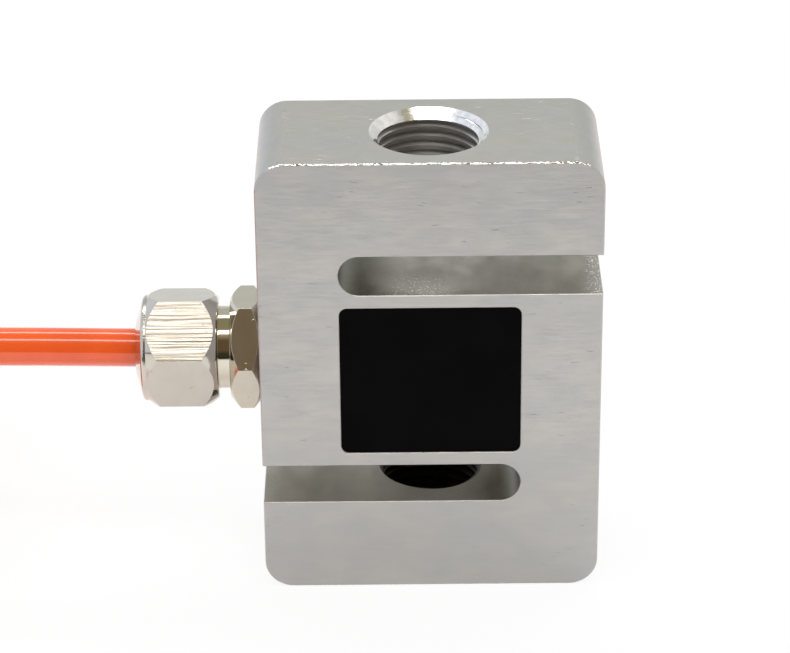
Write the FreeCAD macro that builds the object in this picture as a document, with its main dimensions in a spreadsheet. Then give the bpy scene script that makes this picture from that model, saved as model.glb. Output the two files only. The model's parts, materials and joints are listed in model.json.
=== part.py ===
import FreeCAD
import Part

import math
import os

import Sketcher
from FreeCAD import Placement, Rotation, Vector

# An S-beam load cell: a steel block cut into an S, with a thin gauged web in the middle, a
# threaded hole top and bottom on the load axis, a cable gland on the left and its cable.
# Millimetres. +X is to the right, -Y is the front and +Z is up the load axis. The origin is the
# middle of the bottom face, at the mouth of the lower threaded hole.

DIMENSIONS = {
    # The steel S beam.
    "body_width": 50,
    "body_depth": 23,
    "body_height": 70,
    "corner_radius": 4.3,
    "edge_break": 0.25,
    "arm_height": 14.7,  # each solid arm, top and bottom
    "slot_height": 6.2,
    "slot_reach": 13.3,  # the slot's round end, measured past the middle
    "pocket_width": 26.5,
    "pocket_height": 24,
    "pocket_corner": 1.2,
    "web_thickness": 3,
    # M16 x 1.5 thread on the load axis, drilled to the tapping size.
    "thread_drill": 14.5,
    "mouth_width": 17.4,
    "thread_exit_break": 0.5,
    # The gland's tapped hole in the left side, and the way in for the cores.
    "gland_hole_width": 12,
    "gland_hole_depth": 8,
    "core_hole_width": 7,
    "core_hole_depth": 12.75,
    # The cable gland. Heights are measured out from the beam's left side.
    "hexagon_width": 16,
    "base_turn": 35,  # how far round the base hexagon was left by tightening
    "cap_turn": 44.5,
    "entry_width": 11.9,
    "entry_length": 7.5,
    "base_height": 4.6,
    "base_face_width": 15.3,  # what the chamfers leave of the hexagon's two faces
    "base_inner_chamfer": 1.25,
    "base_outer_chamfer": 1.4,
    "neck_width": 12.4,
    "neck_end": 13.5,
    "gland_bore": 7,
    "seat_width": 10,
    "seat_start": 7.5,
    "ring_section": 1.2,
    "ring_width": 13.2,
    "cap_start": 6.3,
    "cap_root_width": 15,
    "cap_root_chamfer": 2.35,
    "cap_root_round": 0.8,
    "cap_shoulder": 15.15,  # where the outer chamfer starts
    "cap_land_start": 16.95,  # a short round land between the chamfer and the end's cone
    "cap_land_end": 17.62,
    "cap_land_width": 15.8,
    "cap_land_round": 0.5,
    "cap_end": 18.7,
    "cap_mouth": 8.2,
    "claw_end": 16.6,
    "claw_bore": 8.4,
    "claw_slit": 0.8,
    "seal_end": 17.5,
    "jacket_start": 0,  # the jacket is stripped where it comes through the beam's side
    # The cable.
    "cable_width": 5.8,
    "core_width": 1.2,
    "drain_width": 0.9,
    "link_width": 0.4,
    # The put-away hank: turns two wide and five high round two half-circle ends.
    "hank_rows": 5,
    "hank_lift": 1,  # the ties that go under it hold it this far up
    "hank_fold": 17.4,  # the inner turn's radius at each end
    "hank_near": -96.6,  # the middle of the fold nearer the beam
    "hank_far": -141.4,
    "hank_side": 14.6,  # the hank's middle, behind the beam's middle plane
    "tie_width": 4,
    "tie_thickness": 1,
    "tie_slack": 0.2,
    # What is bonded to the web.
    "gauge_length": 6.4,
    "gauge_width": 3.8,
    "gauge_film": 0.1,
    "gauge_foil": 0.05,
    "board_width": 2.6,
    "board_height": 14,
    "board_thickness": 0.8,
    "solder_height": 0.15,
    "solder_pitch": 2.8,
    "potting_sink": 0.3,
}

REACH_SHARE = 0.45  # the part of a run that the arc at its end takes up
VOLUME_TOLERANCE = 0.005
SLACK = 1.0  # how far a cut runs past the face that it opens through

doc = FreeCAD.newDocument("load_cell")


def make_sheet():
    sheet = doc.addObject("Spreadsheet::Sheet", "dims")
    for row, (alias, size) in enumerate(DIMENSIONS.items(), start=1):
        sheet.set(f"A{row}", alias)
        sheet.set(f"B{row}", str(size))
        sheet.setAlias(f"B{row}", alias)
    doc.recompute()
    return sheet


dims = make_sheet()


# Sketches, each held to its body's origin by expressions on the sheet.


def new_body(name):
    return doc.addObject("PartDesign::Body", name)


def origin_datum(body, role):
    """One of the planes or axes of the body's origin."""
    return next(o for o in body.Origin.OriginFeatures if o.Role == role)


def new_sketch(body, role, height="0"):
    """A sketch parallel to one of the body's origin planes, at a height along its normal."""
    sketch = body.newObject("Sketcher::SketchObject", f"{body.Name}_sketch")
    sketch.AttachmentSupport = [(origin_datum(body, role), "")]
    sketch.MapMode = "FlatFace"
    sketch.setExpression("AttachmentOffset.Base.z", height)
    doc.recompute()
    return sketch


def hold_point(sketch, line, end, across, up):
    """Fix one end of a line, or a circle's middle, at a place given by two expressions."""
    for kind, axis, place in (("DistanceX", -2, across), ("DistanceY", -1, up)):
        if place == "0":
            sketch.addConstraint(Sketcher.Constraint("PointOnObject", line, end, axis))
            continue
        size = float(sketch.evalExpression(place))
        index = sketch.addConstraint(Sketcher.Constraint(kind, -1, 1, line, end, size))
        sketch.setExpression(f"Constraints[{index}]", place)


def draw_outline(sketch, corners):
    """A closed outline of straight lines through corners, each a pair of expressions."""
    points = [Vector(*(float(sketch.evalExpression(e)) for e in corner)) for corner in corners]
    first = sketch.GeometryCount
    for start, end in zip(points, points[1:] + points[:1]):
        sketch.addGeometry(Part.LineSegment(start, end), False)
    for i, corner in enumerate(corners):
        after = first + (i + 1) % len(corners)
        sketch.addConstraint(Sketcher.Constraint("Coincident", first + i, 2, after, 1))
        hold_point(sketch, first + i, 1, *corner)


def draw_rectangle(sketch, left, low, right, high):
    draw_outline(sketch, [(left, low), (right, low), (right, high), (left, high)])


def draw_circle(sketch, across, up, radius):
    place = Vector(*(float(sketch.evalExpression(e)) for e in (across, up)))
    size = float(sketch.evalExpression(radius))
    circle = sketch.addGeometry(Part.Circle(place, Vector(0, 0, 1), size), False)
    hold_point(sketch, circle, 3, across, up)
    index = sketch.addConstraint(Sketcher.Constraint("Radius", circle, size))
    sketch.setExpression(f"Constraints[{index}]", radius)


def draw_hexagon(sketch, turn):
    """A hexagon across hexagon_width, with a flat that faces the angle turn."""
    corner = "dims.hexagon_width / sqrt(3)"
    angles = [f"({turn} + {30 + 60 * i})" for i in range(6)]
    draw_outline(sketch, [(f"{corner} * cos({a})", f"{corner} * sin({a})") for a in angles])


# Features.


def feature(body, kind, sketch, name, **sizes):
    """A feature on a sketch; a size that is text is bound as an expression."""
    made = body.newObject(f"PartDesign::{kind}", f"{body.Name}_{name}")
    made.Profile = sketch
    doc.recompute()
    for size, worth in sizes.items():
        if isinstance(worth, str) and size in ("Length", "Depth", "Diameter", "HoleCutDiameter"):
            made.setExpression(size, worth)
        else:
            setattr(made, size, worth)
    doc.recompute()
    return made


def through_cut(body, sketch, name):
    return feature(body, "Pocket", sketch, name, Type="ThroughAll", SideType="Symmetric")


def revolve(body, sketch, name="turned"):
    made = feature(body, "Revolution", sketch, name)
    made.ReferenceAxis = (sketch, ["V_Axis"])
    made.Angle = 360
    doc.recompute()
    return made


def edges_where(shape, test):
    return [f"Edge{i}" for i, edge in enumerate(shape.Edges, start=1) if test(edge)]


def dress(body, kind, name, test, size):
    """A fillet or chamfer on the edges of the body's tip that pass the test."""
    tip = body.Tip
    made = body.newObject(f"PartDesign::{kind}", f"{body.Name}_{name}")
    made.Base = (tip, edges_where(tip.Shape, test))
    made.setExpression("Radius" if kind == "Fillet" else "Size", size)
    doc.recompute()
    return made


def repeat(body, original, axis, length, count):
    pattern = body.newObject("PartDesign::LinearPattern", f"{original.Name}_row")
    pattern.Originals = [original]
    pattern.Direction = (axis, [""])
    pattern.setExpression("Length", length)
    pattern.Occurrences = count
    body.Tip = pattern
    doc.recompute()
    return pattern


def is_round(edge, radius):
    return edge.Curve.TypeId == "Part::GeomCircle" and abs(edge.Curve.Radius - radius) < 1e-4


# The steel beam.


def runs_across(edge, x, z):
    """Whether a straight edge runs front to back through the place x, z."""
    ends = [v.Point for v in edge.Vertexes]
    return len(ends) == 2 and all(abs(p.x - x) < 1e-3 and abs(p.z - z) < 1e-3 for p in ends)


def s_body():
    """One block, sawn and milled: corners, two slots, two pockets and the tapped holes."""
    body = new_body("s_body")
    half_width, half_depth = "dims.body_width / 2", "dims.body_depth / 2"
    block = new_sketch(body, "XZ_Plane")
    draw_rectangle(block, f"-{half_width}", "0", half_width, "dims.body_height")
    feature(body, "Pad", block, "block", SideType="Symmetric", Length="dims.body_depth")
    width, height = dims.body_width / 2, dims.body_height
    corners = [(x, z) for x in (-width, width) for z in (0, height)]
    dress(body, "Fillet", "corners", lambda e: any(runs_across(e, *c) for c in corners),
          "dims.corner_radius")
    rim = dims.body_depth / 2
    dress(body, "Chamfer", "edge_breaks",
          lambda e: all(abs(abs(v.Point.y) - rim) < 1e-3 for v in e.Vertexes)
          and abs(abs(e.CenterOfMass.y) - rim) < 1e-3, "dims.edge_break")

    # Each slot is sawn in from one side to a drilled hole that rounds its end.
    slot = "dims.slot_height"
    low_slot = ("dims.arm_height", f"dims.arm_height + {slot}")
    high_slot = tuple(f"dims.body_height - ({z})" for z in reversed(low_slot))
    for name, (low, high), way in (("lower", low_slot, 1), ("upper", high_slot, -1)):
        end = f"{way} * (dims.slot_reach - {slot} / 2)"
        mouth = f"{-way} * ({half_width} + {SLACK})"
        saw = new_sketch(body, "XZ_Plane")
        left, right = (mouth, end) if way > 0 else (end, mouth)
        draw_rectangle(saw, left, low, right, high)
        through_cut(body, saw, f"{name}_slot")
        drill = new_sketch(body, "XZ_Plane")
        draw_circle(drill, end, f"({low} + {high}) / 2", f"{slot} / 2")
        through_cut(body, drill, f"{name}_slot_end")

    # A pocket from the front and its mirror from the back leave the gauged web.
    pocket = new_sketch(body, "XZ_Plane", half_depth)
    middle = "dims.body_height / 2"
    draw_rectangle(pocket, "-dims.pocket_width / 2", f"{middle} - dims.pocket_height / 2",
                   "dims.pocket_width / 2", f"{middle} + dims.pocket_height / 2")
    front = feature(body, "Pocket", pocket, "pocket",
                    Length="(dims.body_depth - dims.web_thickness) / 2")
    back = body.newObject("PartDesign::Mirrored", "s_body_back_pocket")
    back.Originals = [front]
    back.MirrorPlane = (origin_datum(body, "XZ_Plane"), [""])
    body.Tip = back
    doc.recompute()
    x, z = dims.pocket_width / 2, dims.pocket_height / 2
    corners = [(a * x, dims.body_height / 2 + b * z) for a in (-1, 1) for b in (-1, 1)]
    dress(body, "Fillet", "pocket_corners", lambda e: any(runs_across(e, *c) for c in corners),
          "dims.pocket_corner")

    # The tapped holes on the load axis open into the slots.
    for name, level, reverse in (("upper", "dims.body_height", False), ("lower", "0", True)):
        mark = new_sketch(body, "XY_Plane", level)
        draw_circle(mark, "0", "0", "dims.thread_drill / 2")
        feature(body, "Hole", mark, f"{name}_thread", DepthType="Dimension", DrillPoint="Flat",
                Reversed=reverse, HoleCutType="Countersink", HoleCutCustomValues=True,
                HoleCutCountersinkAngle=90, Diameter="dims.thread_drill",
                HoleCutDiameter="dims.mouth_width", Depth=f"dims.arm_height + {slot} / 2")
    inner = (dims.arm_height, dims.body_height - dims.arm_height)
    dress(body, "Chamfer", "thread_exits",
          lambda e: is_round(e, dims.thread_drill / 2)
          and any(abs(e.Curve.Center.z - z) < 1e-3 for z in inner), "dims.thread_exit_break")

    # The gland's hole in the left side, and the drilled way on into both pockets.
    for name, hole, depth in (("gland_hole", "dims.gland_hole_width", "dims.gland_hole_depth"),
                              ("core_hole", "dims.core_hole_width", "dims.core_hole_depth")):
        mark = new_sketch(body, "YZ_Plane", f"-{half_width}")
        draw_circle(mark, "0", middle, f"{hole} / 2")
        feature(body, "Pocket", mark, name, Reversed=True, Length=depth)
    return body


# What is bonded to the web. Each is built flat, with +Z away from the web.


def on_web(side, x, z, tilt=0.0):
    """The place of a piece on the web's front (side -1) or back (side 1), at x and z."""
    away = Vector(0, side, 0)
    up = Vector(0, 0, 1)
    facing = Rotation(up.cross(away), up, away, "ZYX")
    return Placement(Vector(x, side * dims.web_thickness / 2, z),
                     facing * Rotation(Vector(0, 0, 1), tilt))


def strain_gauge(name, side, x, tilt):
    """Seven foil strands and two solder tabs on a film, read along the film's length."""
    strands, strand, pitch = 7, 0.2, 0.4
    grid_left, grid_right, tab_left, tab_inner, tab_outer = -1.2, 1.8, -2.8, 0.4, 1.5
    body = new_body(name)
    film = new_sketch(body, "XY_Plane")
    half_length, half_width = "dims.gauge_length / 2", "dims.gauge_width / 2"
    draw_rectangle(film, f"-{half_length}", f"-{half_width}", half_length, half_width)
    feature(body, "Pad", film, "film", Length="dims.gauge_film")
    row = strands // 2 * pitch
    grid = new_sketch(body, "XY_Plane", "dims.gauge_film")
    draw_rectangle(grid, f"{grid_left}", f"-{row + strand / 2}",
                   f"{grid_right}", f"-{row - strand / 2}")
    strip = feature(body, "Pad", grid, "strand", Length="dims.gauge_foil")
    repeat(body, strip, origin_datum(body, "Y_Axis"), f"{2 * row}", strands)
    tab = new_sketch(body, "XY_Plane", "dims.gauge_film")
    for low, high in ((-tab_outer, -tab_inner), (tab_inner, tab_outer)):
        draw_rectangle(tab, f"{tab_left}", f"{low}", f"{grid_left}", f"{high}")
    feature(body, "Pad", tab, "tabs", Length="dims.gauge_foil")
    body.Placement = on_web(side, x, dims.body_height / 2, tilt)
    return body


def terminal_board(name, side, x):
    """A narrow strip with five solder pads in a row."""
    pads, pad_radius = 5, 0.7
    body = new_body(name)
    strip = new_sketch(body, "XY_Plane")
    half_width, half_height = "dims.board_width / 2", "dims.board_height / 2"
    draw_rectangle(strip, f"-{half_width}", f"-{half_height}", half_width, half_height)
    feature(body, "Pad", strip, "strip", Length="dims.board_thickness")
    spot = new_sketch(body, "XY_Plane", "dims.board_thickness")
    draw_circle(spot, "0", f"-{pads // 2} * dims.solder_pitch", str(pad_radius))
    pad = feature(body, "Pad", spot, "solder", Length="dims.solder_height")
    repeat(body, pad, origin_datum(body, "Y_Axis"), f"{pads - 1} * dims.solder_pitch", pads)
    body.Placement = on_web(side, x, dims.body_height / 2)
    return body


def trim_resistor(name, side, x):
    """A small axial resistor: a waisted barrel between two end caps and its straight leads."""
    cap_radius = 0.85
    body = new_body(name)
    half = [("0.25", "4.6"), ("0.25", "2.3"), (f"{cap_radius}", "2.3"), (f"{cap_radius}", "1.3"),
            ("0.7", "1.1")]
    mirrored = [(r, f"-{z}") for r, z in reversed(half)]
    profile = new_sketch(body, "XZ_Plane")
    draw_outline(profile, [("0", "4.6"), *half, *mirrored, ("0", "-4.6")])
    revolve(body, profile)
    body.Placement = Placement(
        Vector(x, side * (dims.web_thickness / 2 + cap_radius), dims.body_height / 2), Rotation())
    return body


# Wires and cables: straight runs joined by tangent arcs.


def smooth_path(points):
    """The wire through a route's points, and the radii of its arcs."""
    edges, radii, start = [], [], points[0]
    for before, corner, after in zip(points, points[1:], points[2:]):
        back, ahead = before - corner, after - corner
        half_turn = (math.pi - back.getAngle(ahead)) / 2
        reach = REACH_SHARE * min(back.Length, ahead.Length)
        radius = reach / math.tan(half_turn)
        back.normalize()
        ahead.normalize()
        inward = (back + ahead).normalize()
        first, last = corner + back * reach, corner + ahead * reach
        middle = corner + inward * (radius / math.cos(half_turn) - radius)
        edges += [Part.LineSegment(start, first).toShape(),
                  Part.Arc(first, middle, last).toShape()]
        radii.append(radius)
        start = last
    edges.append(Part.LineSegment(start, points[-1]).toShape())
    return Part.Wire(edges), radii


def tube(name, width, route):
    """A round solid of the width that the alias gives, along a route of points."""
    points = [Vector(*p) for p in route]
    path = doc.addObject("Part::Feature", f"{name}_path")
    path.Shape, radii = smooth_path(points)
    section = doc.addObject("Part::Circle", f"{name}_section")
    section.setExpression("Radius", f"dims.{width} / 2")
    section.Placement = Placement(points[0], Rotation(Vector(0, 0, 1), points[1] - points[0]))
    swept = doc.addObject("Part::Sweep", name)
    swept.Sections = [section]
    swept.Spine = (path, [f"Edge{i + 1}" for i in range(len(path.Shape.Edges))])
    swept.Solid = True
    swept.Frenet = False
    doc.recompute()
    across = getattr(dims, width)
    expected = math.pi * (across / 2) ** 2 * path.Shape.Length
    if abs(swept.Shape.Volume - expected) > VOLUME_TOLERANCE * expected:
        raise RuntimeError(f"{name} holds {swept.Shape.Volume:.1f}, and its route {expected:.1f}")
    tightest = min(radii, default=math.inf)
    print(f"{name}: {path.Shape.Length:.1f} long, radii "
          f"{', '.join(f'{r:.1f}' for r in radii)}, least {tightest / across:.1f} widths")
    return swept


def mirror_y(route):
    return [(x, -y, z) for x, y, z in route]


def mirror_level(route):
    """The route mirrored about the level of the cable's axis."""
    return [(x, y, dims.body_height - z) for x, y, z in route]


# The cores keep square to each other in the gland, go by the web's edge and end on the solder.
CORE_ROUTE = [(-25, -1.0, 36.0), (-19.5, -1.0, 36.0), (-15, -2.35, 35.9), (-12.4, -2.5, 36.0),
              (-10.6, -3.13, 38.0), (-9.1, -3.1, 40.6)]
LINK_ROUTE = [(-9.1, -2.66, 35), (-11.0, -2.74, 35), (-12.9, -2.0, 35), (-13.7, 0, 35),
              (-12.9, 2.0, 35), (-11.0, 2.74, 35), (-9.1, 2.66, 35)]


def pocket_fill(name, side, embedded):
    """Compound cast into one pocket round everything that is bonded in there."""
    body = new_body(f"{name}_cast")
    cast = new_sketch(body, "XY_Plane")
    half_width, half_height = "dims.pocket_width / 2", "dims.pocket_height / 2"
    draw_rectangle(cast, f"-{half_width}", f"-{half_height}", half_width, half_height)
    feature(body, "Pad", cast, "fill",
            Length="(dims.body_depth - dims.web_thickness) / 2 - dims.potting_sink")
    dress(body, "Fillet", "corners",
          lambda e: len(e.Vertexes) == 2 and (e.Vertexes[0].Point - e.Vertexes[1].Point).cross(
              Vector(0, 0, 1)).Length < 1e-6, "dims.pocket_corner")
    body.Placement = on_web(side, 0, dims.body_height / 2)
    held = doc.addObject("Part::MultiFuse", f"{name}_embedded")
    held.Shapes = embedded
    potting = doc.addObject("Part::Cut", name)
    potting.Base = body
    potting.Tool = held
    doc.recompute()
    return potting


# The gland. Each piece is turned about its own +Z, which points out of the beam's left side.


def at_gland():
    facing = Rotation(Vector(0, -1, 0), Vector(0, 0, 1), Vector(-1, 0, 0), "ZXY")
    return Placement(Vector(-dims.body_width / 2, 0, dims.body_height / 2), facing)


def mill_hexagon(body, turn):
    """Cut six flats on a turned blank, by removing the ring outside the hexagon."""
    ring = new_sketch(body, "XY_Plane")
    draw_hexagon(ring, turn)
    draw_circle(ring, "0", "0", "dims.hexagon_width")
    return through_cut(body, ring, "flats")


def gland_body():
    """The base: entry thread, ring groove, hexagon, and the neck that the cap screws on."""
    body = new_body("gland_body")
    corner = "dims.hexagon_width / sqrt(3)"
    face = "dims.base_face_width / 2"
    groove = "(dims.ring_width + dims.ring_section) / 2"
    profile = new_sketch(body, "XZ_Plane")
    draw_outline(profile, [
        ("dims.gland_bore / 2", "-dims.entry_length"),
        ("dims.entry_width / 2 - 0.8", "-dims.entry_length"),
        ("dims.entry_width / 2", "0.8 - dims.entry_length"),
        ("dims.entry_width / 2", "dims.ring_section"),
        (groove, "dims.ring_section"),
        (groove, "0"),
        (face, "0"),
        (corner, "dims.base_inner_chamfer"),
        (corner, "dims.base_height - dims.base_outer_chamfer"),
        (face, "dims.base_height"),
        ("dims.neck_width / 2", "dims.base_height"),
        ("dims.neck_width / 2", "dims.neck_end - 0.4"),
        ("dims.neck_width / 2 - 0.4", "dims.neck_end"),
        ("dims.seat_width / 2", "dims.neck_end"),
        ("dims.seat_width / 2", "dims.seat_start"),
        ("dims.gland_bore / 2", "dims.seat_start"),
    ])
    revolve(body, profile)
    mill_hexagon(body, "dims.base_turn")
    body.Placement = at_gland()
    return body


def gland_oring():
    ring = doc.addObject("Part::Torus", "gland_oring")
    ring.setExpression("Radius1", "dims.ring_width / 2")
    ring.setExpression("Radius2", "dims.ring_section / 2")
    ring.Placement = at_gland() * Placement(Vector(0, 0, dims.ring_section / 2), Rotation())
    return ring


def gland_claw():
    """A plastic clamp: a ring in the neck with eight fingers that the cap's cone presses in."""
    fingers, lip = 8, 0.5
    body = new_body("gland_claw")
    profile = new_sketch(body, "XZ_Plane")
    draw_outline(profile, [
        ("dims.claw_bore / 2", "dims.seat_start"),
        ("dims.seat_width / 2 - 0.05", "dims.seat_start"),
        ("dims.seat_width / 2 - 0.05", "dims.neck_end"),
        ("dims.neck_width / 2 - 0.5", "dims.neck_end"),
        ("dims.neck_width / 2 - 0.5", "dims.neck_end + 0.8"),
        ("dims.claw_bore / 2 + 0.5", "dims.claw_end"),
        (f"dims.claw_bore / 2 - {lip}", "dims.claw_end"),
        (f"dims.claw_bore / 2 - {lip}", "dims.claw_end - 1"),
        ("dims.claw_bore / 2", "dims.claw_end - 1"),
    ])
    revolve(body, profile)
    slit = new_sketch(body, "XY_Plane", "dims.claw_end")
    draw_rectangle(slit, "dims.claw_bore / 2 - 1", "-dims.claw_slit / 2",
                   "dims.neck_width / 2", "dims.claw_slit / 2")
    cut = feature(body, "Pocket", slit, "slit", Length="dims.claw_end - dims.neck_end + 1.5")
    pattern = body.newObject("PartDesign::PolarPattern", "gland_claw_slits")
    pattern.Originals = [cut]
    pattern.Axis = (origin_datum(body, "Z_Axis"), [""])
    pattern.Angle = 360
    pattern.Occurrences = fingers
    body.Tip = pattern
    doc.recompute()
    body.Placement = at_gland()
    return body


def gland_seal():
    """The rubber bush that grips the jacket inside the claw."""
    body = new_body("gland_seal")
    lip = "dims.claw_bore / 2 - 0.5"
    profile = new_sketch(body, "XZ_Plane")
    draw_outline(profile, [
        ("dims.cable_width / 2", "dims.seat_start"),
        ("dims.claw_bore / 2", "dims.seat_start"),
        ("dims.claw_bore / 2", "dims.claw_end - 1"),
        (lip, "dims.claw_end - 1"),
        (lip, "dims.seal_end - 0.3"),
        (f"{lip} - 0.3", "dims.seal_end"),
        ("dims.cable_width / 2", "dims.seal_end"),
    ])
    revolve(body, profile)
    body.Placement = at_gland()
    return body


def gland_cap_nut():
    """The cap: a blank turned to its end shapes and bored to a cone, then milled to a hexagon."""
    body = new_body("gland_cap_nut")
    corner = "dims.hexagon_width / sqrt(3)"
    profile = new_sketch(body, "XZ_Plane")
    draw_outline(profile, [
        ("dims.neck_width / 2", "dims.cap_start"),
        ("dims.cap_root_width / 2", "dims.cap_start"),
        (corner, "dims.cap_start + dims.cap_root_chamfer"),
        (corner, "dims.cap_shoulder"),
        ("dims.cap_land_width / 2", "dims.cap_land_start"),
        ("dims.cap_land_width / 2", "dims.cap_land_end"),
        ("dims.cap_mouth / 2 + 0.4", "dims.cap_end"),
        ("dims.cap_mouth / 2", "dims.cap_end - 0.4"),
        ("dims.cap_mouth / 2", "dims.claw_end + 0.8"),
        ("dims.claw_bore / 2 + 0.6", "dims.claw_end + 0.4"),
        ("dims.neck_width / 2 - 0.3", "dims.neck_end + 0.8"),
        ("dims.neck_width / 2", "dims.neck_end + 0.8"),
    ])
    revolve(body, profile)
    for end, level in (("root", dims.cap_start), ("land", dims.cap_land_end)):
        rim = getattr(dims, f"cap_{end}_width") / 2
        dress(body, "Fillet", f"{end}_rounding",
              lambda e: is_round(e, rim) and abs(e.Curve.Center.z - level) < 1e-3,
              f"dims.cap_{end}_round")
    mill_hexagon(body, "dims.cap_turn")
    body.Placement = at_gland()
    return body


# The cable and what is on it.


def cable_entry():
    """The jacket inside the gland, up to the cap's mouth."""
    jacket = doc.addObject("Part::Cylinder", "cable_entry")
    jacket.setExpression("Radius", "dims.cable_width / 2")
    jacket.setExpression("Height", "dims.cap_end - dims.jacket_start")
    jacket.Placement = at_gland() * Placement(Vector(0, 0, dims.jacket_start), Rotation())
    return jacket


# From the cap's mouth straight out, then down onto the front of the hank's top inner row.
CABLE_ROUTE = [(-43.7, 0, 35), (-80, 0, 35), (-105.5, -2.7, 27.15), (-122, -2.7, 27.15)]
HANK_WAY_IN = (-122, -78)  # the top inner row is free under the cable that comes down
# The last turn ends in the top outer row, and its leads lie along the turn below.
TAIL_ROUTE = [(-96.6, -8.75, 27.3), (-104, -8.75, 27.3)]
HANK_WAY_OUT = (-137, -96.6)

LEAD_ROUTES = {
    "lead_green": [(-104, -9.7, 26.35), (-107.5, -9.7, 26.35), (-113.5, -10.05, 24.8),
                   (-121, -9.95, 24.8), (-128.5, -10.3, 24.8), (-136.5, -10.1, 24.8)],
    "lead_black": [(-104, -7.8, 26.35), (-107.5, -7.8, 26.35), (-113.5, -7.6, 24.8),
                   (-121, -7.7, 24.8), (-128, -7.3, 24.8), (-135.5, -7.5, 24.8)],
    "lead_shield": [(-104, -8.75, 27.3), (-107.5, -8.75, 27.3), (-113.5, -8.8, 26.1),
                    (-120, -8.85, 24.75), (-127.5, -8.75, 24.7), (-135, -8.9, 24.7)],
    "lead_red": [(-104, -9.7, 28.25), (-108, -9.7, 28.25), (-114.5, -9.6, 26.9),
                 (-121, -9.5, 25.95), (-128.5, -9.7, 25.95), (-136.2, -9.4, 25.9)],
    "lead_white": [(-104, -7.8, 28.25), (-108, -7.8, 28.25), (-114.5, -7.95, 26.9),
                   (-121, -8.1, 25.95), (-128, -7.9, 25.95), (-135.2, -8.2, 25.9)],
}


def draw_racetrack(sketch, radius):
    """Two half circles round the hank's fold centres and the two straights between them."""
    size = float(sketch.evalExpression(radius))
    near, far, side = dims.hank_near, dims.hank_far, dims.hank_side
    quarter = math.pi / 2
    first = sketch.GeometryCount
    ends = [(near, -quarter, quarter), (far, quarter, 3 * quarter)]
    for middle, start, stop in ends:
        circle = Part.Circle(Vector(middle, side, 0), Vector(0, 0, 1), size)
        sketch.addGeometry(Part.ArcOfCircle(circle, start, stop), False)
    for level in (side + size, side - size):
        line = Part.LineSegment(Vector(near, level, 0), Vector(far, level, 0))
        sketch.addGeometry(line, False)
    near_arc, far_arc, back, front = range(first, first + 4)
    tangent_ends = [(near_arc, 2, back, 1), (back, 2, far_arc, 1), (far_arc, 2, front, 2),
                    (front, 1, near_arc, 1)]
    for joint in tangent_ends:
        sketch.addConstraint(Sketcher.Constraint("Tangent", *joint))
    hold_point(sketch, near_arc, 3, "dims.hank_near", "dims.hank_side")
    hold_point(sketch, far_arc, 3, "dims.hank_far", "dims.hank_side")
    index = sketch.addConstraint(Sketcher.Constraint("Radius", near_arc, size))
    sketch.setExpression(f"Constraints[{index}]", radius)


def hank_column(name, inner, outer, gap):
    """One column of the hank's turns, whose top row is open on the front side over a gap."""
    left, right = gap
    body = new_body(f"{name}_ring")
    track = new_sketch(body, "XY_Plane", "dims.hank_lift")
    for radius in (inner, outer):
        draw_racetrack(track, radius)
    feature(body, "Pad", track, "ring", Length="dims.hank_rows * dims.cable_width")
    opening = doc.addObject("Part::Box", f"{name}_gap")
    opening.Length = right - left
    opening.Width = 2 * dims.hank_fold
    opening.setExpression("Height", "dims.cable_width")
    top_row = dims.hank_lift + (dims.hank_rows - 1) * dims.cable_width
    opening.Placement = Placement(
        Vector(left, dims.hank_side - opening.Width.Value, top_row), Rotation())
    rows = doc.addObject("Part::Cut", name)
    rows.Base = body
    rows.Tool = opening
    return rows


def cable_hank():
    """The outer shape of the tied hank, open where its first and last turns come and go."""
    half = "dims.cable_width / 2"
    inner, middle = f"dims.hank_fold - {half}", f"dims.hank_fold + {half}"
    hank = doc.addObject("Part::Fuse", "cable_hank")
    hank.Base = hank_column("hank_outer_rows", middle, f"{middle} + dims.cable_width",
                            HANK_WAY_OUT)
    hank.Tool = hank_column("hank_inner_rows", inner, middle, HANK_WAY_IN)
    hank.Refine = True
    doc.recompute()
    return hank


def hank_tie(name, x, y, turn):
    """A strap round the turns of the hank, drawn across their section, with its lock.

    It lies against the turns on their outside, which is its own +X side.
    """
    lock_left, lock_right, lock_height, lock_margin = -8, -3.5, 1.6, 0.5
    body = new_body(name)
    strap = "dims.tie_thickness"
    left = "-(2 * dims.cable_width + dims.tie_slack)"
    top = f"{strap} + dims.hank_rows * dims.cable_width"
    band = new_sketch(body, "XZ_Plane")
    draw_rectangle(band, left, strap, "0", top)
    draw_rectangle(band, f"{left} - {strap}", "0", strap, f"{top} + {strap}")
    strap_width = "dims.tie_width"
    feature(body, "Pad", band, "strap", SideType="Symmetric", Length=strap_width)
    bounds = body.Shape.BoundBox
    outer = [(x_edge, z_edge) for x_edge in (bounds.XMin, bounds.XMax)
             for z_edge in (bounds.ZMin, bounds.ZMax)]
    dress(body, "Fillet", "bends", lambda e: any(runs_across(e, *c) for c in outer),
          f"0.9 * {strap}")
    lock = new_sketch(body, "XZ_Plane")
    draw_rectangle(lock, f"{lock_left}", f"{top} + {strap}",
                   f"{lock_right}", f"{top} + {strap} + {lock_height}")
    feature(body, "Pad", lock, "lock", SideType="Symmetric",
            Length=f"{strap_width} + 2 * {lock_margin}")
    body.Placement = Placement(Vector(x, y, 0), Rotation(Vector(0, 0, 1), turn))
    return body


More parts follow.
